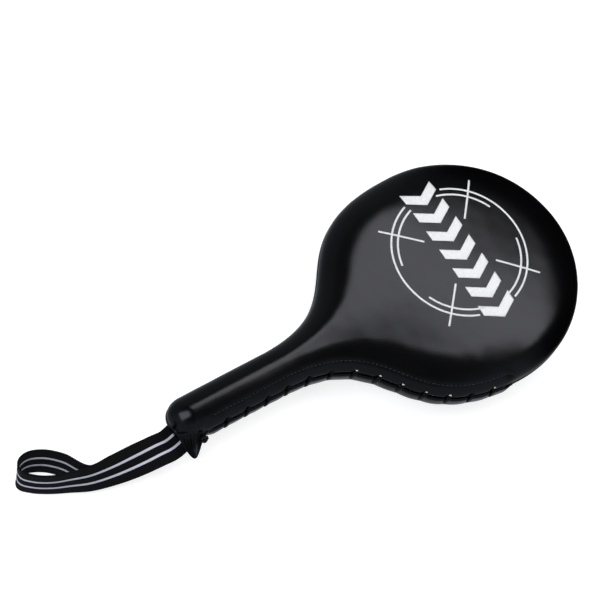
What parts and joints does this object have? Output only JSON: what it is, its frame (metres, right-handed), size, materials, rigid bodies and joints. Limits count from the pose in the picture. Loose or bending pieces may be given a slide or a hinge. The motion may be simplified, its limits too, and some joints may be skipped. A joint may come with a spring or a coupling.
{
  "type": "round striking paddle",
  "caption": "Black leather striking paddle with a thick round padded head, a slim round handle laced along one edge and a striped webbing wrist loop.",
  "frame": {"origin": "centre of the flat on the back of the head, which the paddle lies on", "axes": "+X along the handle towards the head's far end, +Z out of the printed front face, +Y away from the laced edge"},
  "size_m": [0.5014, 0.1946, 0.054],
  "materials": {
    "cover_leather": "matte black moulded leather, fine grain, soft sheen",
    "lace_leather": "black flat leather lace",
    "thread": "black bonded thread",
    "board": "plain pressed board",
    "firm_foam": "dense grey foam",
    "soft_foam": "soft cream foam",
    "strap_webbing": "black ribbed webbing with two pale twill stripes",
    "rivet_steel": "plated steel"
  },
  "bodies": {
    "paddle": {"front_cover": "cover_leather", "back_cover": "cover_leather", "edge_lace": "lace_leather", "lace_knot": "lace_leather", "front_hem_stitching": "thread", "back_hem_stitching": "thread", "side_seam_stitching": "thread", "core_board": "board", "front_firm_foam": "firm_foam", "back_firm_foam": "firm_foam", "front_soft_foam": "soft_foam", "back_soft_foam": "soft_foam", "front_handle_foam": "soft_foam", "back_handle_foam": "soft_foam", "strap_upper_inner_end": "strap_webbing", "strap_lower_inner_end": "strap_webbing", "strap_rivet_1": "rivet_steel", "strap_rivet_2": "rivet_steel", "rivet_washer_1": "rivet_steel", "rivet_washer_2": "rivet_steel", "gathered_corner": "cover_leather"},
    "wrist_strap": {"wrist_strap": "strap_webbing"}
  },
  "joints": [
    {"name": "strap_swing", "type": "hinge", "parent": "paddle", "child": "wrist_strap", "pos_m": [-0.28, -0.0098, 0.0186], "axis": [0, 1, 0], "range_deg": [-90, 90]}
  ]
}
